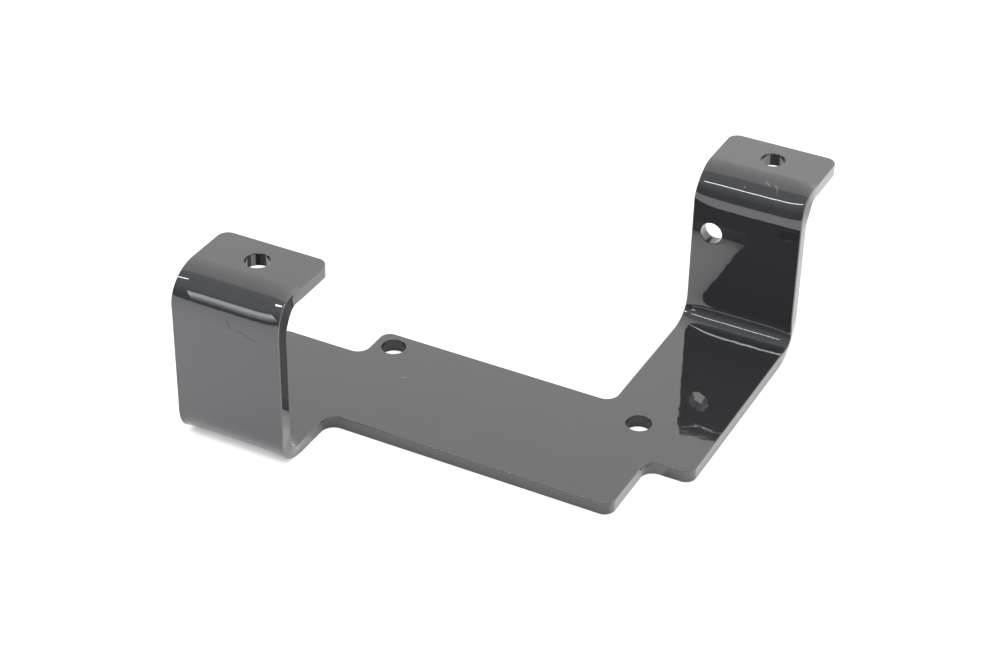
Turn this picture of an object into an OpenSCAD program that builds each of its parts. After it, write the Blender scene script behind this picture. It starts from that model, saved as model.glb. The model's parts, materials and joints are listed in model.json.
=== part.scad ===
// Support bracket cut from one steel plate, folded four times and powder coated.
// A flat plate with two legs: the left leg folds up from the plate's front edge and its tab turns
// back over the plate, and the right leg folds up from the end of an arm and its tab turns away.

/* [Plate] */
// Thickness of the coated steel plate
plate_t = 6; // [4:0.5:8]
// Radius of the outer corners of the cut outline
corner_r = 5; // [2:0.5:8]
// Radius of the inner corners of the cut outline
notch_r = 5.8; // [2:0.1:8]

/* [Overall] */
// Length along X, from the left edge to the right edge
overall_l = 204.2; // [180:0.1:240]
// Height from the underside to the top of both tabs
overall_h = 79.7; // [76:0.1:120]
// Distance along Y between the front faces of the two walls
wall_spacing = 180.1; // [150:0.1:230]

/* [Middle plate] */
// Distance from the left wall's front face back to the middle plate's front edge
middle_setback = 35.9; // [24:0.1:50]
// Width of the middle plate, from its front edge to its back edge
middle_w = 66.5; // [56:0.5:80]
// Distance from the left edge to the step in the back edge
back_step_x = 41.4; // [15:0.1:44]
// Depth of the step in the back edge
back_step_d = 20.3; // [12:0.1:40]
// Distance from the right edge to the step at the middle plate's right end
front_step_x = 20.4; // [12:0.1:32]
// Depth of the step at the middle plate's right end
front_step_d = 35.6; // [12:0.1:50]

/* [Left leg] */
// Width of the left leg
left_leg_w = 51.5; // [36:0.5:80]
// Inside radius of the fold at the foot of the left wall
left_foot_fold_r = 8; // [3:0.5:14]
// Inside radius of the fold at the top of the left wall
left_top_fold_r = 10; // [3:0.5:16]
// Reach of the left tab, from the wall's front face to the tab's free edge
left_tab_reach = 40.7; // [36:0.1:60]

/* [Right leg] */
// Width of the right arm, wall and tab
right_leg_w = 50.7; // [40:0.1:64]
// Inside radius of the fold at the foot of the right wall
right_foot_fold_r = 9; // [3:0.5:15]
// Inside radius of the fold at the top of the right wall
right_top_fold_r = 10; // [3:0.5:15]
// Reach of the right tab, from the wall's front face to the tab's free edge
right_tab_reach = 41.2; // [38:0.1:60]

/* [Holes] */
// Diameter of the bolt holes in the tabs and in the middle plate
bolt_hole_d = 11; // [6:0.5:14]
// Distance from the left edge of each tab to the centre of its hole
tab_hole_side = 25.3; // [14:0.1:32]
// Distance from the free edge of each tab to the centre of its hole
tab_hole_end = 13.9; // [10:0.1:16]
// Distance from the left edge to the centre of the first hole in the middle plate
plate_hole_x = 50.7; // [50:0.1:70]
// Distance between the centres of the two holes in the middle plate
plate_hole_pitch = 119.4; // [60:0.1:122]
// Distance from the middle plate's back edge to the centres of its holes
plate_hole_back = 9.1; // [8:0.1:30]
// Diameter of the hole in the right wall
wall_hole_d = 10; // [5:0.5:14]
// Distance from the right leg's left edge to the centre of the hole in its wall
wall_hole_side = 9.3; // [8:0.1:40]
// Height of the hole in the right wall above the underside
wall_hole_h = 51.5; // [32:0.1:58]

/* [Hidden] */
$fn = 96;
coating = [0.27, 0.28, 0.30];
// Length by which a cutting tool runs past each face that it cuts
overcut = 1;

// Outside radii of the folds
left_foot_r = left_foot_fold_r + plate_t;
left_top_r = left_top_fold_r + plate_t;
right_foot_r = right_foot_fold_r + plate_t;
right_top_r = right_top_fold_r + plate_t;

// Places in the plan, from the left edge and from the front face of the left wall
middle_right = overall_l - front_step_x;
middle_back = middle_setback + middle_w;
left_back = middle_back - back_step_d;
arm_left = overall_l - right_leg_w;
arm_front = middle_setback + front_step_d;
arm_end = wall_spacing + plate_t - right_foot_r;
overall_w = wall_spacing + right_tab_reach;

// Corners of the plan, each with the turn that points a corner piece into the metal
outer_corners = [
    [0, left_back, 270],
    [back_step_x, middle_back, 270],
    [middle_right, middle_setback, 90],
    [overall_l, arm_front, 90]
];
// Corners of the plan, each with the turn that points a corner piece into the open notch
inner_corners = [
    [back_step_x, left_back, 90],
    [left_leg_w, middle_setback, 270],
    [middle_right, arm_front, 270],
    [arm_left, middle_back, 90]
];

// The sliver between a square corner at the origin and an arc of radius r
module corner_piece(r) {
    difference() {
        square(r);
        translate([r, r]) circle(r);
    }
}

// Corner pieces of radius r at each place of the list
module corner_pieces(places, r) {
    for (place = places)
        translate([place[0], place[1]]) rotate(place[2]) corner_piece(r);
}

// Plan of everything that lies flat on the ground, between the feet of the two legs
module flat_plan() {
    difference() {
        union() {
            translate([0, left_foot_r]) square([left_leg_w, left_back - left_foot_r]);
            translate([0, middle_setback]) square([middle_right, left_back - middle_setback]);
            translate([back_step_x, middle_setback]) square([middle_right - back_step_x, middle_w]);
            translate([arm_left, arm_front]) square([right_leg_w, arm_end - arm_front]);
            corner_pieces(inner_corners, notch_r);
        }
        corner_pieces(outer_corners, corner_r);
    }
}

// Section through a fold: a quarter of a ring of the plate's thickness
module fold_section(outside_r) {
    intersection() {
        difference() {
            circle(outside_r);
            circle(outside_r - plate_t);
        }
        square(outside_r);
    }
}

// Section through the fold at the foot of a leg, with the plate behind the wall
module foot_section(foot_r) {
    translate([foot_r, foot_r]) rotate(180) fold_section(foot_r);
}

// Side view of a leg, from its foot fold to the free edge of its tab, with the wall's front face at 0.
// The plate lies behind the wall, or in front of it where foot_in_front is true.
module leg_section(foot_r, top_r, tab_reach, foot_in_front) {
    if (foot_in_front) translate([plate_t, 0]) mirror([1, 0]) foot_section(foot_r);
    else foot_section(foot_r);
    translate([0, foot_r]) square([plate_t, overall_h - foot_r - top_r]);
    translate([top_r, overall_h - top_r]) rotate(90) fold_section(top_r);
    translate([top_r, overall_h - plate_t]) square([tab_reach - top_r, plate_t]);
}

// Vertical bolt hole through a flat whose underside is at height z
module bolt_hole(x, y, z) {
    translate([x, y, z - overcut]) cylinder(d = bolt_hole_d, h = plate_t + 2 * overcut);
}

// A leg with its wall's front face at y = 0 and its left edge at x = 0
module leg(width, foot_r, top_r, tab_reach, foot_in_front = false) {
    tab_z = overall_h - plate_t;
    difference() {
        rotate([90, 0, 90]) linear_extrude(width) leg_section(foot_r, top_r, tab_reach, foot_in_front);
        translate([0, 0, tab_z - overcut]) linear_extrude(plate_t + 2 * overcut)
            corner_pieces([[0, tab_reach, 270], [width, tab_reach, 180]], corner_r);
        bolt_hole(tab_hole_side, tab_reach - tab_hole_end, tab_z);
    }
}

module left_leg() {
    leg(left_leg_w, left_foot_r, left_top_r, left_tab_reach);
}

module right_leg() {
    translate([arm_left, wall_spacing, 0])
        difference() {
            leg(right_leg_w, right_foot_r, right_top_r, right_tab_reach, foot_in_front = true);
            translate([wall_hole_side, -overcut, wall_hole_h])
                rotate([-90, 0, 0]) cylinder(d = wall_hole_d, h = plate_t + 2 * overcut);
        }
}

module flat_plate() {
    difference() {
        linear_extrude(plate_t) flat_plan();
        for (x = [plate_hole_x, plate_hole_x + plate_hole_pitch])
            bolt_hole(x, middle_back - plate_hole_back, 0);
    }
}

// The origin is on the ground, under the middle of the bracket's length and width
module bracket() {
    color(coating)
        translate([-overall_l / 2, -overall_w / 2, 0])
        union() {
            flat_plate();
            left_leg();
            right_leg();
        }
}

bracket();
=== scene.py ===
import json
import math

import bpy
import numpy as np
from bpy.props import FloatProperty, FloatVectorProperty, PointerProperty
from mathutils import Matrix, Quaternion, Vector
from mathutils.geometry import delaunay_2d_cdt


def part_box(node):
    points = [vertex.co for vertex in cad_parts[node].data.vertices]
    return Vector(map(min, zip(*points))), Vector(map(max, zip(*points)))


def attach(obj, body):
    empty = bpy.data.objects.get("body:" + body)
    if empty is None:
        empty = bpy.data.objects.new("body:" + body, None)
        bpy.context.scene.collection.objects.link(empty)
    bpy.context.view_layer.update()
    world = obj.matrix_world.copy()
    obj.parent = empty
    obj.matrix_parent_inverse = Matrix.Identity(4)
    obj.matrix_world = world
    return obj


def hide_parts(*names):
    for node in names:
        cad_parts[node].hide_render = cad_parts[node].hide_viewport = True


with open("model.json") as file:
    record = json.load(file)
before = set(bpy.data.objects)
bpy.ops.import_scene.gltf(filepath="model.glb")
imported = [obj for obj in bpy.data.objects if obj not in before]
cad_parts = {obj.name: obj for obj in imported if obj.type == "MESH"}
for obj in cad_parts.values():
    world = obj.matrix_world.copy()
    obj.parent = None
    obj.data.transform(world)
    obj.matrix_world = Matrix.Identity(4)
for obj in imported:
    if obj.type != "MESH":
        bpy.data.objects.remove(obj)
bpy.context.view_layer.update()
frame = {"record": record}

bl_info = {
    "name": "Folded Bracket",
    "version": (1, 0, 0),
    "blender": (4, 5, 0),
    "location": "3D View > Sidebar > Bracket",
    "description": "Builds a powder coated bracket from one folded steel plate, with its stage",
    "category": "Add Mesh",
}

MM = 0.001
QUARTER_TURN = math.pi / 2

cad_low, cad_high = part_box("bracket")
cad_size = cad_high - cad_low
mounts = {mount["name"]: mount for mount in frame["record"]["mounts"]}


def length(name, description, default):
    """A length property in metres."""
    return FloatProperty(
        name=name, description=description, default=default, min=0.0, unit="LENGTH", subtype="DISTANCE",
        precision=4,
    )


def amount(name, description, default, high=10.0):
    """A plain number property."""
    return FloatProperty(name=name, description=description, default=default, min=0.0, max=high, precision=4)


def curl_peak(name, default):
    """A property for the place round a fold where the curl of one end peaks."""
    return FloatProperty(
        name=name, description="Share of the fold, from its foot side, at which this end's curl peaks",
        default=default, min=0.1, max=0.9, precision=4,
    )


def colour(name, description, default):
    """A colour property."""
    return FloatVectorProperty(
        name=name, description=description, default=default, min=0.0, max=1.0, size=3, subtype="COLOR",
    )


class BracketPlateSizes(bpy.types.PropertyGroup):
    """Sizes of the cut plate and of its folds."""

    thickness: length(
        "Thickness", "Thickness of the coated plate", mounts["left_tab_hole"]["dims"]["length_mm"] * MM
    )
    corner_r: length("Outer corners", "Radius of the outer corners of the cut outline", 0.005)
    notch_r: length("Inner corners", "Radius of the inner corners of the cut outline", 0.0058)
    middle_setback: length(
        "Middle setback", "From the left wall's front face to the middle plate's front edge", 0.0359
    )
    middle_w: length("Middle width", "From the middle plate's front edge to its back edge", 0.0665)
    back_step_x: length("Back step place", "From the left edge to the step in the back edge", 0.0414)
    back_step_d: length("Back step depth", "Depth of the step in the back edge", 0.0203)
    front_step_x: length("End step place", "From the right edge to the step at the middle's end", 0.0204)
    front_step_d: length("End step depth", "Depth of the step at the middle plate's right end", 0.0356)
    left_leg_w: length("Left leg width", "Width of the left leg", 0.0515)
    left_foot_r: length("Left foot fold", "Inside radius of the fold at the left wall's foot", 0.008)
    left_top_r: length("Left top fold", "Inside radius of the fold at the left wall's top", 0.010)
    left_tab_reach: length(
        "Left tab reach", "From the left wall's front face to the tab's free edge", 0.0407
    )
    right_leg_w: length("Right leg width", "Width of the arm, the right wall and its tab", 0.0507)
    right_foot_r: length("Right foot fold", "Inside radius of the fold at the right wall's foot", 0.010)
    right_top_r: length("Right top fold", "Inside radius of the fold at the right wall's top", 0.0095)
    right_tab_reach: length(
        "Right tab reach", "From the right wall's front face to the tab's free edge", 0.0412
    )
    edge_r: length("Edge rounding", "Radius that the coating gives to the cut edges", 0.0005)
    hole_edge_r: length(
        "Hole edge rounding", "Radius that the coating gives to the edges of the holes", 0.0004
    )
    fold_bulge: length("Fold bulge", "How far the inside of a fold swells out of the plate's edge", 0.0006)
    fold_curl: length("Fold curl", "How far the ends of a fold flare out past its middle", 0.0012)
    curl_w: length("Fold curl width", "How far in from the ends of a fold the curl fades", 0.0040)
    foot_left_peak: curl_peak("Foot fold's left curl", 0.58)
    foot_right_peak: curl_peak("Foot fold's right curl", 0.52)
    top_left_peak: curl_peak("Top fold's left curl", 0.40)
    top_right_peak: curl_peak("Top fold's right curl", 0.66)
    foot_ease: amount("Foot fold ease", "How gently a foot fold begins and ends, from 0 to 1", 0.6, 1.0)
    top_ease: amount("Top fold ease", "How gently a top fold begins and ends, from 0 to 1", 0.35, 1.0)


class BracketCoating(bpy.types.PropertyGroup):
    """Colour and surface of the powder coat."""

    base: colour("Coat", "Colour of the powder coat", (0.042, 0.041, 0.045))
    # The thin coat's colour also serves as a painted highlight along the rounded edges.
    thin: colour("Thin coat", "Colour where the coat runs thin over an edge", (0.165, 0.165, 0.168))
    scratch: colour("Scratch", "Colour of the few light scratches", (0.40, 0.40, 0.41))
    roughness: amount("Roughness", "Roughness of the coat's surface", 0.04, 1.0)
    flow_height: amount(
        "Flow height", "Height of the soft waves in the coat, in thousandths of a millimetre", 24.0, 100.0
    )


class BracketStage(bpy.types.PropertyGroup):
    """The floor, the surroundings and the lamps."""

    floor: colour("Floor", "Colour of the floor", (0.72, 0.72, 0.72))
    sky_behind: colour("Sky behind", "Surroundings behind the bracket", (0.92, 0.92, 0.91))
    sky_above: colour("Sky above", "Surroundings straight above the bracket", (0.44, 0.46, 0.49))
    sky_front: colour("Sky in front", "Surroundings low in front of the bracket", (0.19, 0.20, 0.22))
    tube: amount("Tube lamp", "Brightness of the thin tube lamp, where 1 is white", 12.0, 50.0)
    box: amount("Soft box", "Brightness of the small soft box, where 1 is white", 3.3, 50.0)


def turned(share, ease):
    """Share of its whole turn that a fold has made, at shares of its length."""
    return share - ease * np.sin(2 * math.pi * share) / (2 * math.pi)


def travelled(share, turn, ease):
    """How far a fold of length 1 has gone forwards and sideways, at shares of its length."""
    spots, weights = np.polynomial.legendre.leggauss(16)
    angle = turn * turned(np.multiply.outer(share, (spots + 1) / 2), ease)
    return share / 2 * (np.cos(angle) @ weights), share / 2 * (np.sin(angle) @ weights)


def hump(share, peak):
    """0 at both ends of a fold's length and 1 at the share of it where its hump peaks."""
    return np.sin(math.pi * share ** (math.log(0.5) / math.log(peak))) ** 2


def straight(distance):
    """A flat stretch of a leg: its length along the blank, its turn, its ease and its curls' peaks."""
    return distance, 0.0, 0.0, ()


def bend(inside_r, thickness, ease, peaks, up=True):
    """A quarter fold, and how far its middle line reaches from the sharp corner of its two flats.

    Its middle lies as far from that corner as a plain quarter circle's would.
    """
    depth = (inside_r + thickness / 2) * (1 - math.sqrt(0.5))
    halfway, whole = travelled(np.array((0.5, 1.0)), QUARTER_TURN, ease)[0]
    distance = depth / (whole - halfway)
    return (distance, QUARTER_TURN if up else -QUARTER_TURN, ease, peaks), distance * whole


class Blank:
    """The flat blank of the bracket, from its left front corner, and how it folds.

    x runs across the blank, v along it through the folds, and w through its thickness from the underside.
    In the middle of the blank x and v are the plan's own X and Y.
    """

    def __init__(self, sizes):
        s = sizes
        t = s.thickness
        height = cad_size.z
        self.thickness = t
        self.sizes = s
        self.length_x = cad_size.x
        self.wall_spacing = cad_size.y - s.right_tab_reach
        foot_peaks = (s.foot_left_peak, s.foot_right_peak)
        top_peaks = (s.top_left_peak, s.top_right_peak)
        left_foot, left_foot_reach = bend(s.left_foot_r, t, s.foot_ease, foot_peaks)
        left_top, left_top_reach = bend(s.left_top_r, t, s.top_ease, top_peaks)
        right_foot, right_foot_reach = bend(s.right_foot_r, t, s.foot_ease, foot_peaks)
        right_top, right_top_reach = bend(s.right_top_r, t, s.top_ease, top_peaks, up=False)
        self.left_foot = t / 2 + left_foot_reach
        self.right_foot = self.wall_spacing + t / 2 - right_foot_reach
        self.left_leg = [
            left_foot,
            straight(height - t - left_foot_reach - left_top_reach),
            left_top,
            straight(s.left_tab_reach - t / 2 - left_top_reach),
        ]
        self.right_leg = [
            right_foot,
            straight(height - t - right_foot_reach - right_top_reach),
            right_top,
            straight(s.right_tab_reach - t / 2 - right_top_reach),
        ]
        self.right_wall = self.right_foot + right_foot[0]
        self.right_wall_low = t / 2 + right_foot_reach
        self.left_end = self.left_foot - sum(part[0] for part in self.left_leg)
        self.right_end = self.right_foot + sum(part[0] for part in self.right_leg)
        self.left_sides = (0.0, s.left_leg_w)
        self.right_sides = (self.length_x - s.right_leg_w, self.length_x)

    def corners(self):
        """(x, v, radius) of the outline's corners, anticlockwise from the left tab's free edge."""
        s = self.sizes
        right = self.length_x
        middle_right = right - s.front_step_x
        middle_back = s.middle_setback + s.middle_w
        left_back = middle_back - s.back_step_d
        arm_left = right - s.right_leg_w
        arm_front = s.middle_setback + s.front_step_d
        return [
            (0.0, self.left_end, s.corner_r),
            (s.left_leg_w, self.left_end, s.corner_r),
            (s.left_leg_w, s.middle_setback, s.notch_r),
            (middle_right, s.middle_setback, s.corner_r),
            (middle_right, arm_front, s.notch_r),
            (right, arm_front, s.corner_r),
            (right, self.right_end, s.corner_r),
            (arm_left, self.right_end, s.corner_r),
            (arm_left, middle_back, s.notch_r),
            (s.back_step_x, middle_back, s.corner_r),
            (s.back_step_x, left_back, s.notch_r),
            (0.0, left_back, s.corner_r),
        ]

    def holes(self):
        """(x, v, radius) of the five holes, from the frame's own mounts."""
        found = []
        for name in ("left_tab_hole", "right_tab_hole", "plate_hole_left", "plate_hole_right", "wall_hole"):
            place = Vector(mounts[name]["pos_m"]) - cad_low
            radius = mounts[name]["dims"]["r_mm"] * MM
            if name == "left_tab_hole":
                v = self.left_end + self.sizes.left_tab_reach - place.y
            elif name == "right_tab_hole":
                v = self.right_end - (cad_size.y - place.y)
            elif name == "wall_hole":
                v = self.right_wall + place.z - self.right_wall_low
            else:
                v = place.y
            found.append((place.x, v, radius))
        return found

    def follow(self, distance, parts):
        """Middle line of a leg at distances past its foot: how far out, how high, its slope and its humps.

        The humps are 0 on flats and rise to 1 within a fold, or to -1 where it turns down. The first peaks
        halfway round the fold, and the others are those of the curls at its left and right ends.
        """
        out, up, slope = np.zeros((3, len(distance)))
        humps = np.zeros((3, len(distance)))
        start_out = start_up = start_slope = start = 0.0
        for part_length, turn, ease, peaks in parts:
            here = distance >= start
            gone = distance[here] - start
            share = np.append(gone / part_length, 1.0)
            if turn:
                share = np.minimum(share, 1.0)
                forward, sideways = travelled(share, turn, ease)
                angle = start_slope + turn * turned(share, ease)
                made = [hump(share[:-1], peak) for peak in (0.5, *peaks)]
                humps[:, here] = np.sign(turn) * np.array(made)
            else:
                forward, sideways = share, np.zeros(len(share))
                angle = np.full(len(share), start_slope)
                humps[:, here] = 0.0
            ahead, aside = math.cos(start_slope) * part_length, math.sin(start_slope) * part_length
            part_out = start_out + forward * ahead - sideways * aside
            part_up = start_up + forward * aside + sideways * ahead
            out[here], up[here], slope[here] = part_out[:-1], part_up[:-1], angle[:-1]
            start_out, start_up, start_slope = part_out[-1], part_up[-1], angle[-1]
            start += part_length
        return out, up, slope, humps

    def folded(self, flat):
        """Places in the row frame of points (x, v, w) of the blank."""
        x, v, w = flat.T
        half = self.thickness / 2
        placed = np.array(flat)
        legs = (
            (v < self.left_foot, self.left_foot, -1.0, self.left_leg, self.left_sides),
            (v > self.right_foot, self.right_foot, 1.0, self.right_leg, self.right_sides),
        )
        for on_leg, foot, side, parts, (low_x, high_x) in legs:
            out, up, slope, humps = self.follow(side * (v[on_leg] - foot), parts)
            across = x[on_leg]
            above = w[on_leg] - half
            from_low, from_high = np.abs(across - low_x), np.abs(high_x - across)
            low_edge, high_edge = np.exp(-from_low / half), np.exp(-from_high / half)
            low_end = np.exp(-from_low / self.sizes.curl_w)
            high_end = np.exp(-from_high / self.sizes.curl_w)
            curl = self.sizes.fold_curl * (humps[1] * low_end + humps[2] * high_end)
            swell = humps[0] * self.sizes.fold_bulge * above / half
            raised = above - curl
            placed[on_leg, 0] = across + swell * (high_edge - low_edge)
            placed[on_leg, 1] = foot + side * (out - raised * np.sin(slope))
            placed[on_leg, 2] = half + up + raised * np.cos(slope)
        return placed + np.array(cad_low)

    def normals(self, flat, flat_normals):
        """Surface normals in the row frame, from the blank's normals and the slope of the fold there."""
        step = 1e-6
        sides = []
        for axis in range(3):
            move = np.zeros(3)
            move[axis] = step
            sides.append((self.folded(flat + move) - self.folded(flat - move)) / (2 * step))
        slopes = np.stack(sides, axis=1)
        found = np.linalg.solve(slopes, flat_normals[:, :, None])[:, :, 0]
        return found / np.linalg.norm(found, axis=1, keepdims=True)


ARC_STEPS = 12
HOLE_STEPS = 64
EDGE_STEPS = 5
FOLD_ROWS = 26
# Spacing of the mesh's lattice on the flats, and how near its points come to a rim or to a corner of it.
LATTICE = 0.006
RIM_GAP = 0.0007
CUT_GAP = 0.0004
# Distances from a leg's edges of the columns that are placed close together there.
NEAR_EDGE = (0.0014, 0.0026, 0.0040, 0.0058, 0.0080, 0.0110)


def spread(low, high, step):
    """Even values from low to high, both included, no further apart than step."""
    slack = 1e-9
    return list(np.linspace(low, high, max(1, math.ceil((high - low) / step - slack)) + 1))


def rows_of(blank):
    """Places along the blank of the mesh's rows: close together round the folds."""
    rows = spread(blank.left_foot, blank.right_foot, LATTICE)
    for foot, side, parts in ((blank.left_foot, -1, blank.left_leg), (blank.right_foot, 1, blank.right_leg)):
        start = 0.0
        for part_length, turn, _ease, _peaks in parts:
            step = part_length / FOLD_ROWS if turn else LATTICE
            rows += [foot + side * (start + gone) for gone in spread(0.0, part_length, step)[1:]]
            start += part_length
    return sorted(rows)


def columns_of(blank):
    """Places across the blank of the mesh's columns: close together at the legs' edges."""
    columns = []
    for low, high in (blank.left_sides, blank.right_sides):
        columns += [low + gap for gap in NEAR_EDGE] + [high - gap for gap in NEAR_EDGE]
        columns += spread(low + NEAR_EDGE[-1], high - NEAR_EDGE[-1], LATTICE)[1:-1]
    columns += spread(blank.left_sides[1], blank.right_sides[0], LATTICE)
    return sorted(columns)


def cuts_between(start, end, places):
    """The places that lie between start and end, in the order of travel, clear of both."""
    low, high = min(start, end) + CUT_GAP, max(start, end) - CUT_GAP
    return sorted((p for p in places if low < p < high), reverse=bool(end < start))


def outline_ring(blank, rows, columns):
    """Points and outward normals round the blank's outline."""
    corners = blank.corners()
    points, normals = [], []
    for index, (x, v, radius) in enumerate(corners):
        corner = np.array((x, v))
        before = np.array(corners[index - 1][:2])
        after = np.array(corners[(index + 1) % len(corners)][:2])
        into = (corner - before) / np.linalg.norm(corner - before)
        away = (after - corner) / np.linalg.norm(after - corner)
        turn = 1.0 if into[0] * away[1] - into[1] * away[0] > 0 else -1.0
        outward = np.array((into[1], -into[0]))
        centre = corner - radius * into - turn * radius * outward
        for angle in np.linspace(0.0, QUARTER_TURN, ARC_STEPS + 1):
            normal = outward * math.cos(angle) + turn * into * math.sin(angle)
            points.append(centre + turn * radius * normal)
            normals.append(normal)
        next_radius = corners[(index + 1) % len(corners)][2]
        start = corner + radius * away
        end = after - next_radius * away
        axis = 0 if abs(away[0]) > 0.5 else 1
        for place in cuts_between(start[axis], end[axis], columns if axis == 0 else rows):
            point = np.array(start)
            point[axis] = place
            points.append(point)
            normals.append(np.array((away[1], -away[0])))
    return np.array(points), np.array(normals)


def hole_ring(x, v, radius):
    """Points and normals round a hole, clockwise, with the normals towards its middle."""
    angles = -np.linspace(0.0, 2 * math.pi, HOLE_STEPS, endpoint=False)
    around = np.stack((np.cos(angles), np.sin(angles)), axis=1)
    return np.array((x, v)) + radius * around, -around


def inside_outline(points, ring):
    """Whether each point lies inside the closed ring."""
    inside = np.zeros(len(points), bool)
    for (x0, v0), (x1, v1) in zip(ring, np.roll(ring, -1, axis=0)):
        if v0 != v1:
            crosses = (points[:, 1] < v0) != (points[:, 1] < v1)
            at = x0 + (points[:, 1] - v0) * (x1 - x0) / (v1 - v0)
            inside ^= crosses & (points[:, 0] < at)
    return inside


def far_from(points, ring, gap):
    """Whether each point is further than the gap from every side of the closed ring."""
    far = np.ones(len(points), bool)
    for start, end in zip(ring, np.roll(ring, -1, axis=0)):
        side = end - start
        share = np.clip((points - start) @ side / (side @ side), 0.0, 1.0)
        far &= np.linalg.norm(points - start - share[:, None] * side, axis=1) > gap
    return far


def face_grid(rings, rows, columns, holes):
    """Points and triangles of one face of the blank, whose rings come first among the points."""
    lattice = np.array([(x, v) for v in rows for x in columns])
    lattice = lattice[inside_outline(lattice, rings[0])]
    for ring in rings:
        lattice = lattice[far_from(lattice, ring, RIM_GAP)]
    for x, v, radius in holes:
        lattice = lattice[np.hypot(lattice[:, 0] - x, lattice[:, 1] - v) > radius]
    points = np.concatenate(rings + [lattice])
    edges = []
    begun = 0
    for ring in rings:
        count = len(ring)
        edges += [(begun + i, begun + (i + 1) % count) for i in range(count)]
        begun += count
    border = list(range(len(rings[0])))
    inside_only, tolerance = 1, 1e-6
    made = delaunay_2d_cdt([Vector(p) / MM for p in points], edges, [border], inside_only, tolerance)
    own = [origins[0] for origins in made[3]]
    triangles = [[own[i] for i in face] for face in made[2]]
    ring_of = np.concatenate([np.full(len(ring), index) for index, ring in enumerate(rings)])
    ring_of = np.concatenate([ring_of, np.zeros(len(lattice), int)])
    return points, [t for t in triangles if ring_of[t[0]] == 0 or len(set(ring_of[t])) > 1]


def edge_profile(thickness, radii):
    """Section of the rounded edges, from the upper face down: inset, height, outward and upward."""
    steps = [(math.sin(a), math.cos(a)) for a in np.linspace(0.0, QUARTER_TURN, EDGE_STEPS + 1)]
    upper = [(radii * (1 - out), thickness - radii * (1 - up), out, up) for out, up in steps]
    lower = [(inset, thickness - height, out, -up) for inset, height, out, up in reversed(upper)]
    return upper + lower


def band_faces(counts, levels):
    """Quads round the edge of each ring of points, between its levels from the upper rim downwards."""
    faces = []
    start = 0
    for count in counts:
        for above, below in zip(levels, levels[1:]):
            for i in range(count):
                j = (i + 1) % count
                quad = (above[start + i], below[start + i], below[start + j], above[start + j])
                faces.append(tuple(int(k) for k in quad))
        start += count
    return faces


def plate_mesh(sizes):
    """The folded plate as one closed mesh, with the normals of its true curves."""
    blank = Blank(sizes)
    rows, columns = rows_of(blank), columns_of(blank)
    holes = blank.holes()
    rings = [outline_ring(blank, rows, columns)] + [hole_ring(*hole) for hole in holes]
    radii = [sizes.edge_r] + [sizes.hole_edge_r] * len(holes)
    inset_rings = [points - radius * normals for (points, normals), radius in zip(rings, radii)]
    face, triangles = face_grid(inset_rings, rows, columns, holes)
    rim = sum(len(points) for points, _normals in rings)
    ring_radii = np.repeat(radii, [len(points) for points, _normals in rings])

    # The upper face, the underside, then the rounded edge between their rims.
    flat = [np.column_stack((face, np.full(len(face), height))) for height in (blank.thickness, 0.0)]
    facing = [np.tile((0.0, 0.0, up), (len(face), 1)) for up in (1.0, -1.0)]
    on_edge = [np.zeros(2 * len(face))]
    faces = [tuple(t) for t in triangles]
    faces += [tuple(len(face) + i for i in reversed(t)) for t in triangles]
    levels = [np.arange(rim)]
    ring_points = np.concatenate([points for points, _normals in rings])
    ring_normals = np.concatenate([normals for _points, normals in rings])
    around_outline = (np.arange(rim) < len(rings[0][0])).astype(float)
    begun = 2 * len(face)
    for inset, height, out, up in edge_profile(blank.thickness, ring_radii)[1:-1]:
        flat.append(np.column_stack((ring_points - inset[:, None] * ring_normals, height)))
        facing.append(np.column_stack((ring_normals * out, np.full(rim, up))))
        on_edge.append(around_outline if abs(up) > 0.01 else np.zeros(rim))
        levels.append(begun + np.arange(rim))
        begun += rim
    levels.append(len(face) + np.arange(rim))
    faces += band_faces([len(points) for points, _normals in rings], levels)

    flat = np.concatenate(flat)
    facing = np.concatenate(facing)
    mesh = bpy.data.meshes.new("coated_plate")
    mesh.from_pydata(blank.folded(flat).tolist(), [], faces)
    mesh.polygons.foreach_set("use_smooth", [True] * len(mesh.polygons))
    mesh.normals_split_custom_set_from_vertices(blank.normals(flat, facing).tolist())
    mark_rounding(mesh, np.concatenate(on_edge))
    mesh.validate()
    return mesh


def mark_rounding(mesh, on_edge):
    """Stores which points lie on the outline's rounded edges, for the coating to read."""
    rounding = mesh.attributes.new("rounding", "FLOAT", "POINT")
    rounding.data.foreach_set("value", on_edge.astype(np.float32))


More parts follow.
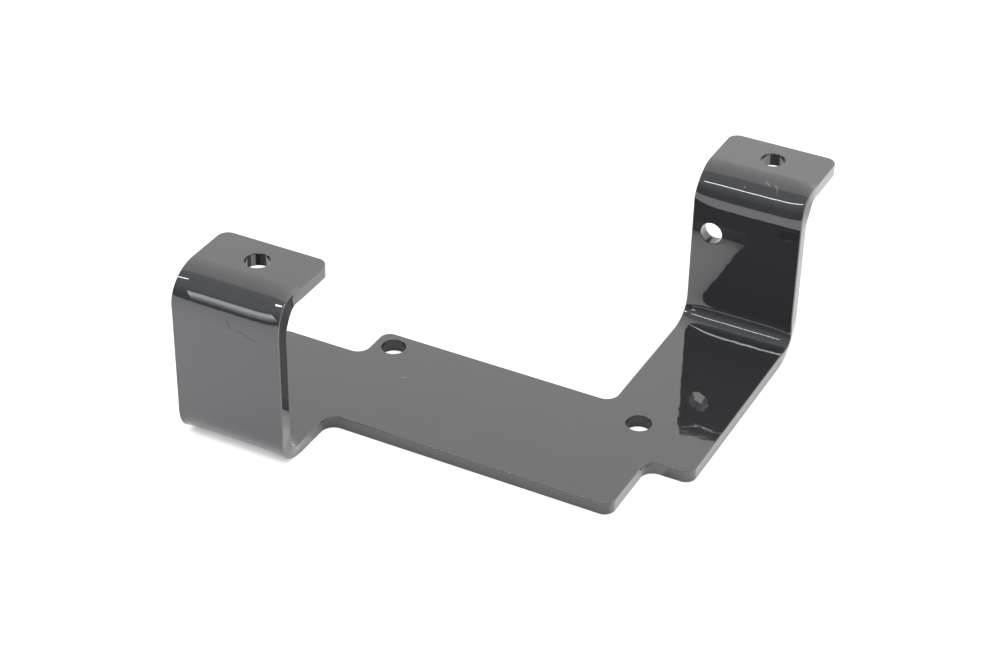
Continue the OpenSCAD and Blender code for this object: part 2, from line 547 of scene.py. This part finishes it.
class Nodes:
    """A short way to add and join shader nodes."""

    def __init__(self, tree):
        self.tree = tree
        tree.nodes.clear()

    def add(self, kind, inputs=(), **settings):
        """A node with its settings, and with values or other nodes' outputs on its inputs."""
        node = self.tree.nodes.new(kind)
        for name, value in settings.items():
            setattr(node, name, value)
        for key, value in dict(inputs).items():
            if isinstance(value, bpy.types.NodeSocket):
                self.tree.links.new(value, node.inputs[key])
            else:
                node.inputs[key].default_value = value
        return node

    def math(self, operation, *values):
        """A math node's result."""
        return self.add("ShaderNodeMath", dict(enumerate(values)), operation=operation).outputs[0]

    def vector(self, operation, inputs):
        """A vector math node's outputs."""
        return self.add("ShaderNodeVectorMath", inputs, operation=operation).outputs

    def noise(self, place, scale, detail, roughness=0.5):
        """A noise texture's value."""
        inputs = {"Vector": place, "Scale": scale, "Detail": detail, "Roughness": roughness}
        return self.add("ShaderNodeTexNoise", inputs).outputs["Fac"]

    def ranged(self, value, found, wanted, curve="LINEAR"):
        """The value carried over from the range that it is found in to the wanted range."""
        inputs = {"Value": value, "From Min": found[0], "From Max": found[1]}
        inputs.update({"To Min": wanted[0], "To Max": wanted[1]})
        return self.add("ShaderNodeMapRange", inputs, interpolation_type=curve).outputs["Result"]

    def ramp(self, factor, stops):
        """A colour ramp's result, from (place, colour) stops."""
        node = self.add("ShaderNodeValToRGB", {"Fac": factor})
        elements = node.color_ramp.elements
        while len(elements) < len(stops):
            elements.new(1.0)
        for element, (place, value) in zip(elements, stops):
            element.position = place
            element.color = (*value, 1.0)
        return node.outputs["Color"]

    def mix(self, factor, first, second):
        """One colour mixed with another."""
        node = self.add("ShaderNodeMix", data_type="RGBA")
        for socket, value in zip((node.inputs[0], node.inputs[6], node.inputs[7]), (factor, first, second)):
            if isinstance(value, bpy.types.NodeSocket):
                self.tree.links.new(value, socket)
            else:
                socket.default_value = value if isinstance(value, float) else (*value, 1.0)
        return node.outputs[2]


# Marks in the coat in the row frame, in millimetres: two ends and a half width.
SCRATCHES = (
    ((85.4, 78.5, 78.2), (86.9, 77.0, 77.3), 0.22),
    ((86.9, 77.0, 77.3), (87.5, 75.1, 75.9), 0.20),
    ((80.6, 79.2, 78.4), (82.9, 77.9, 77.8), 0.25),
    ((72.4, 75.0, 75.8), (72.6, 74.8, 75.7), 0.30),
    ((-36.5, -36.4, 6.0), (-35.2, -35.7, 6.0), 0.18),
)
# Dull patches on the left wall's front face, rougher and darkened by painted shade: two ends and a half
# width.
DULL_SHADED_PATCHES = (
    ((-75.4, -110.6, 65.8), (-73.4, -110.6, 62.6), 0.6),
    ((-70.0, -110.6, 62.8), (-62.4, -110.6, 60.4), 0.6),
)


def marked(nodes, place, marks):
    """1 on the marks, fading to 0 beside them."""
    found = 0.0
    for start, end, half_width in marks:
        start, end = Vector(start) * MM, Vector(end) * MM
        along = (end - start).normalized()
        past = nodes.vector("SUBTRACT", {0: place, 1: start})["Vector"]
        ahead = nodes.vector("DOT_PRODUCT", {0: past, 1: along})["Value"]
        kept = nodes.math("MINIMUM", nodes.math("MAXIMUM", ahead, 0.0), (end - start).length)
        nearest = nodes.vector("SCALE", {0: along, "Scale": kept})["Vector"]
        gap = nodes.vector("DISTANCE", {0: past, 1: nearest})["Value"]
        shown = nodes.ranged(gap, (0.0, 2 * half_width * MM), (1.0, 0.0))
        found = nodes.math("MAXIMUM", shown, found)
    return found


# Scales of the coat's patterns: clouds in its colour, rubbed patches in its gloss, waves in its surface.
CLOUD_SCALE = 28.0
RUBBED_SCALE = 60.0
FLOW_SCALE = 240.0
# Colour of the painted shade on the dull patches.
PAINTED_SHADE_COLOUR = (0.015, 0.015, 0.015)
MARK_ROUGHNESS = 0.6


def coated_steel(coating):
    """Gloss powder coat on steel, with soft flow waves, rubbed patches, a thin coat on its edges that is
    also a painted highlight, and dull patches darkened by painted shade.
    """
    material = bpy.data.materials.new("coated_steel")
    material.use_nodes = True
    nodes = Nodes(material.node_tree)
    place = nodes.add("ShaderNodeTexCoord").outputs["Object"]
    rounding = nodes.add("ShaderNodeAttribute", attribute_name="rounding").outputs["Fac"]

    cloud = nodes.noise(place, CLOUD_SCALE, 3.0)
    shade = nodes.ramp(cloud, [
        (0.35, [0.94 * c for c in coating.base]),
        (0.65, [1.06 * c for c in coating.base]),
    ])
    # The rounded edges take the lighter colour: a thin coat there, and a painted highlight along them.
    thin_rim_and_highlight = nodes.mix(rounding, shade, tuple(coating.thin))
    scratched = marked(nodes, place, SCRATCHES)
    # The dull patches on the left wall are roughened and darkened with painted shade.
    dull_shaded = marked(nodes, place, DULL_SHADED_PATCHES)
    with_painted_shade = nodes.mix(dull_shaded, thin_rim_and_highlight, PAINTED_SHADE_COLOUR)
    base = nodes.mix(scratched, with_painted_shade, tuple(coating.scratch))

    rubbed = nodes.noise(place, RUBBED_SCALE, 4.0, 0.65)
    plain = nodes.ranged(rubbed, (0.3, 0.7), (coating.roughness * 0.85, coating.roughness * 1.15))
    dull = nodes.math("MULTIPLY", nodes.math("MAXIMUM", scratched, dull_shaded), MARK_ROUGHNESS)
    roughness = nodes.math("MAXIMUM", plain, dull)

    flow = nodes.noise(place, FLOW_SCALE, 0.5)
    normal = nodes.add(
        "ShaderNodeBump", {"Height": flow, "Distance": coating.flow_height * 1e-6, "Strength": 1.0}
    ).outputs["Normal"]

    paint = nodes.add("ShaderNodeBsdfPrincipled", {
        "Base Color": base,
        "Roughness": roughness,
        "Normal": normal,
        "IOR": 1.5,
        "Specular IOR Level": 1.0,
        "Coat Weight": 1.0,
        "Coat Roughness": 0.02,
        "Coat IOR": 1.6,
        "Coat Normal": normal,
    })
    nodes.add("ShaderNodeOutputMaterial", {"Surface": paint.outputs["BSDF"]})
    return material


class BRACKET_OT_plate(bpy.types.Operator):
    """Build the folded and coated plate"""

    bl_idname = "bracket.plate"
    bl_label = "Folded Plate"
    bl_options = {"REGISTER", "UNDO"}

    def execute(self, context):
        mesh = plate_mesh(context.scene.bracket_plate_sizes)
        mesh.materials.append(coated_steel(context.scene.bracket_coating))
        plate = bpy.data.objects.new("coated_plate", mesh)
        context.scene.collection.objects.link(plate)
        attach(plate, "root")
        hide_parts("bracket")
        return {"FINISHED"}


CAMERA_PLACE = (0.37726, -0.76176, 0.58872)
CAMERA_AIM = (-0.00557, -0.00396, 0.020)
CAMERA_ROLL = 1.164
CAMERA_LENS = 84.318


def add_camera(scene):
    """The camera at the photograph's view."""
    camera = bpy.data.objects.new("camera", bpy.data.cameras.new("camera"))
    camera.data.lens = CAMERA_LENS
    camera.data.sensor_width = 36.0
    camera.data.clip_start = 0.01
    view = Vector(CAMERA_AIM) - Vector(CAMERA_PLACE)
    level = view.to_track_quat("-Z", "Y")
    camera.rotation_mode = "QUATERNION"
    camera.rotation_quaternion = level @ Quaternion((0.0, 0.0, 1.0), math.radians(CAMERA_ROLL))
    camera.location = CAMERA_PLACE
    scene.collection.objects.link(camera)
    scene.camera = camera


LAMP_TINT = (0.92, 0.96, 1.0)
EVEN = ((0.0, 1.0), (1.0, 1.0))


def smooth_step(nodes, value, low, high):
    """0 below low and 1 above high, with a soft change between them."""
    return nodes.ranged(value, (low, high), (0.0, 1.0), "SMOOTHSTEP")


# The floor's own glow, that brings it to white. To the camera it washes out the floor's shadow except by
# the left foot, where the plate touches it and a painted shadow darkens the glow. The coat mirrors a floor
# with painted shade close behind the plate's edges, and painted light to the right of the plate and of its
# left leg.
CAMERA_GLOW = 0.85
MIRROR_GLOW = 0.52
RIGHT_GLOW = 0.22
# How far the painted shade reaches about the plate, and how strongly: as the camera sees it by the foot,
# and as the coat mirrors it everywhere, more by the foot, and more behind it.
SHADE_REACH = 0.02
FOOT_SHADE = 0.42
MIRROR_SHADE = 0.12
MIRROR_FOOT_SHADE = 0.4
MIRROR_BEHIND_SHADE = 1.8
# From where to where the mirrored floor changes: towards the back, along Y, and to the right, along X.
BEHIND_FOOT = (-0.105, -0.020)
RIGHT_OF_PLATE = (0.085, 0.110)
# The middle, the half size and the width of the soft border of patches of the floor, in the row frame: a
# painted shadow by the left foot, and painted light by the plate's end and by the left leg.
FOOT_SHADOW_PATCH = (-0.0785, -0.100), (0.024, 0.004), 0.007
END_LIGHT_PATCH = (0.0850, -0.056), (0.0028, 0.017), 0.002
LEG_LIGHT_PATCH = (-0.0410, -0.098), (0.0100, 0.010), 0.004
GRAIN_SCALE = 40.0
FLOOR_HALF = 6.0
# The floor lies this far under the bracket, so that the two faces don't fight.
FLOOR_GAP = 0.00005


def within(nodes, parts, patch):
    """1 on a patch of the floor, fading to 0 beside it."""
    middles, halves, fade = patch
    gaps = []
    for axis, middle, half in zip("XY", middles, halves):
        aside = nodes.math("ABSOLUTE", nodes.math("SUBTRACT", parts[axis], middle))
        gaps.append(nodes.math("SUBTRACT", aside, half))
    apart = nodes.math("MAXIMUM", gaps[0], gaps[1])
    return nodes.math("SUBTRACT", 1.0, smooth_step(nodes, apart, 0.0, fade))


def floor_material(stage):
    """Pale floor, white by its own glow over its lit colour, which keeps the object's shadow; the glow adds
    a painted shadow by the left foot, and painted shade and light where the coat mirrors the floor.
    """
    material = bpy.data.materials.new("floor_paper")
    material.use_nodes = True
    nodes = Nodes(material.node_tree)
    place = nodes.add("ShaderNodeTexCoord").outputs["Object"]
    grain = nodes.noise(place, GRAIN_SCALE, 4.0)
    paper = nodes.ramp(grain, [(0.3, [0.99 * c for c in stage.floor]), (0.7, tuple(stage.floor))])
    lit = nodes.add("ShaderNodeBsdfDiffuse", {"Color": paper}).outputs[0]
    open_share = nodes.add("ShaderNodeAmbientOcclusion", {"Distance": SHADE_REACH}, samples=8).outputs["AO"]

    parts = nodes.add("ShaderNodeSeparateXYZ", {"Vector": place}).outputs
    # To the camera the glow is darkened by the left foot, a painted shadow.
    by_foot = nodes.math("MULTIPLY", nodes.math("POWER", open_share, FOOT_SHADE), CAMERA_GLOW)
    at_foot = within(nodes, parts, FOOT_SHADOW_PATCH)
    to_camera = nodes.add("ShaderNodeMix", {0: at_foot, 2: CAMERA_GLOW, 3: by_foot}).outputs[0]

    # What the coat mirrors: painted shade close behind the plate, and painted light to the right of it and
    # of the left leg.
    behind_foot = smooth_step(nodes, parts["Y"], *BEHIND_FOOT)
    by_end, by_leg = within(nodes, parts, END_LIGHT_PATCH), within(nodes, parts, LEG_LIGHT_PATCH)
    beside = nodes.math("MAXIMUM", by_end, by_leg)
    right_side = nodes.math("MAXIMUM", smooth_step(nodes, parts["X"], *RIGHT_OF_PLATE), beside)
    shaded = nodes.math("MULTIPLY", behind_foot, nodes.math("SUBTRACT", 1.0, right_side))
    least = nodes.math("MULTIPLY_ADD", at_foot, MIRROR_FOOT_SHADE, MIRROR_SHADE)
    power = nodes.math("MULTIPLY_ADD", shaded, MIRROR_BEHIND_SHADE, least)
    bright = nodes.math("MULTIPLY_ADD", right_side, RIGHT_GLOW, MIRROR_GLOW)
    mirrored = nodes.math("MULTIPLY", bright, nodes.math("POWER", open_share, power))

    path = nodes.add("ShaderNodeLightPath").outputs
    glossy = nodes.math("MAXIMUM", path["Is Glossy Ray"], path["Is Transmission Ray"])
    seen = nodes.math("MULTIPLY", path["Is Camera Ray"], to_camera)
    share = nodes.math("MULTIPLY_ADD", glossy, mirrored, seen)
    white = nodes.add("ShaderNodeEmission", {"Color": (1.0, 1.0, 1.0, 1.0), "Strength": share}).outputs[0]
    shown = nodes.add("ShaderNodeAddShader", {0: lit, 1: white}).outputs[0]
    nodes.add("ShaderNodeOutputMaterial", {"Surface": shown})
    return material


def flat_sheet(name, half_x, half_y, material):
    """A flat rectangle round its own origin, that faces up."""
    mesh = bpy.data.meshes.new(name)
    corners = [(x * half_x, y * half_y, 0.0) for x, y in ((-1, -1), (1, -1), (1, 1), (-1, 1))]
    mesh.from_pydata(corners, [], [(0, 1, 2, 3)])
    mesh.materials.append(material)
    return bpy.data.objects.new(name, mesh)


def add_floor(scene, stage):
    """A large flat floor at the bracket's underside."""
    floor = flat_sheet("floor", FLOOR_HALF, FLOOR_HALF, floor_material(stage))
    floor.location.z = cad_low.z - FLOOR_GAP
    scene.collection.objects.link(floor)


def add_surroundings(scene, stage):
    """White studio behind the bracket and over it, darker in front, and plain white to the camera."""
    world = bpy.data.worlds.new("studio")
    scene.world = world
    world.use_nodes = True
    nodes = Nodes(world.node_tree)
    direction = nodes.add("ShaderNodeTexCoord").outputs["Generated"]
    parts = nodes.add("ShaderNodeSeparateXYZ", {"Vector": direction}).outputs
    angle = nodes.math("ARCTAN2", parts["Z"], parts["Y"])
    share = nodes.math("DIVIDE", angle, math.pi)
    behind, above, front = tuple(stage.sky_behind), tuple(stage.sky_above), tuple(stage.sky_front)
    # Shares of the half turn from the horizon behind, over the top, to the horizon in front.
    sky = nodes.ramp(share, [
        (0.165, [1.08 * c for c in behind]),
        (0.205, behind),
        (0.225, [0.96 * c for c in behind]),
        (0.46, [0.90 * c for c in behind]),
        (0.51, above),
        (0.76, above),
        (0.91, front),
        (1.00, front),
    ])
    camera_ray = nodes.add("ShaderNodeLightPath").outputs["Is Camera Ray"]
    shown = nodes.mix(camera_ray, sky, (1.0, 1.0, 1.0))
    background = nodes.add("ShaderNodeBackground", {"Color": shown, "Strength": 1.0}).outputs[0]
    nodes.add("ShaderNodeOutputWorld", {"Surface": background})


def add_lamp(scene, name, brightness, place, aim, size, across=EVEN, along=EVEN):
    """A flat lamp that faces its aim, unseen by the camera.

    Its brightness, where 1 is white, is the given one times its shares at the stops across it, from the end
    on its right as the camera sees it, and at the stops along it.
    """
    material = bpy.data.materials.new(name)
    material.use_nodes = True
    nodes = Nodes(material.node_tree)
    spot = nodes.add("ShaderNodeTexCoord").outputs["Generated"]
    parts = nodes.add("ShaderNodeSeparateXYZ", {"Vector": spot}).outputs
    across_share, along_share = (
        nodes.ramp(parts[axis], [(stop, (share, share, share)) for stop, share in stops])
        for axis, stops in (("X", across), ("Y", along))
    )
    shaped = nodes.math("MULTIPLY", across_share, along_share)
    strength = nodes.math("MULTIPLY", shaped, brightness)
    light = nodes.add("ShaderNodeEmission", {"Color": (*LAMP_TINT, 1.0), "Strength": strength}).outputs[0]
    nodes.add("ShaderNodeOutputMaterial", {"Surface": light})
    lamp = flat_sheet(name, size[0] / 2, size[1] / 2, material)
    lamp.location = place
    lamp.rotation_euler = (Vector(aim) - Vector(place)).to_track_quat("Z", "Y").to_euler()
    lamp.visible_camera = False
    lamp.visible_shadow = False
    scene.collection.objects.link(lamp)


class BRACKET_OT_stage(bpy.types.Operator):
    """Set up the floor, the surroundings, the lamps and the camera"""

    bl_idname = "bracket.stage"
    bl_label = "Stage"
    bl_options = {"REGISTER", "UNDO"}

    def execute(self, context):
        scene = context.scene
        stage = scene.bracket_stage
        add_camera(scene)
        add_floor(scene, stage)
        add_surroundings(scene, stage)
        # The tube's left end is dark, and the second lamp lights the folds from further left.
        add_lamp(
            scene, "tube_lamp", stage.tube,
            place=(-0.1575, -0.294, 0.525), aim=(-0.1575, -0.05, 0.04), size=(0.435, 0.020),
            across=((0.0, 0.1), (0.06, 1.0), (0.81, 1.0), (0.825, 0.03), (1.0, 0.03)),
        )
        add_lamp(
            scene, "left_lamp", stage.tube,
            place=(-0.5535, -0.294, 0.525), aim=(-0.5535, -0.05, 0.04), size=(0.253, 0.055),
        )
        add_lamp(
            scene, "soft_box", stage.box,
            place=(-0.503, -0.821, 0.335), aim=(-0.076, -0.110, 0.068), size=(0.12, 0.30),
            across=((0.0, 0.3), (0.08, 1.0), (0.2, 0.7), (0.8, 0.7), (0.92, 1.0)),
            along=((0.0, 0.2), (0.3, 0.45), (0.55, 1.0), (0.88, 1.0), (1.0, 0.2)),
        )
        scene.view_settings.view_transform = "Standard"
        return {"FINISHED"}


class BRACKET_PT_sidebar(bpy.types.Panel):
    """Lists the bracket's builders and their sizes"""

    bl_idname = "BRACKET_PT_sidebar"
    bl_label = "Folded Bracket"
    bl_space_type = "VIEW_3D"
    bl_region_type = "UI"
    bl_category = "Bracket"

    def draw(self, context):
        for operator, group in (
            ("bracket.plate", context.scene.bracket_plate_sizes),
            (None, context.scene.bracket_coating),
            ("bracket.stage", context.scene.bracket_stage),
        ):
            box = self.layout.box()
            if operator:
                box.operator(operator)
            for name in group.__annotations__:
                box.prop(group, name)


CLASSES = (
    BracketPlateSizes,
    BracketCoating,
    BracketStage,
    BRACKET_OT_plate,
    BRACKET_OT_stage,
    BRACKET_PT_sidebar,
)


def register():
    for cls in CLASSES:
        bpy.utils.register_class(cls)
    bpy.types.Scene.bracket_plate_sizes = PointerProperty(type=BracketPlateSizes)
    bpy.types.Scene.bracket_coating = PointerProperty(type=BracketCoating)
    bpy.types.Scene.bracket_stage = PointerProperty(type=BracketStage)


def unregister():
    del bpy.types.Scene.bracket_stage
    del bpy.types.Scene.bracket_coating
    del bpy.types.Scene.bracket_plate_sizes
    for cls in reversed(CLASSES):
        bpy.utils.unregister_class(cls)


def main():
    register()
    bpy.ops.bracket.plate()
    bpy.ops.bracket.stage()


if __name__ == "__main__":
    main()
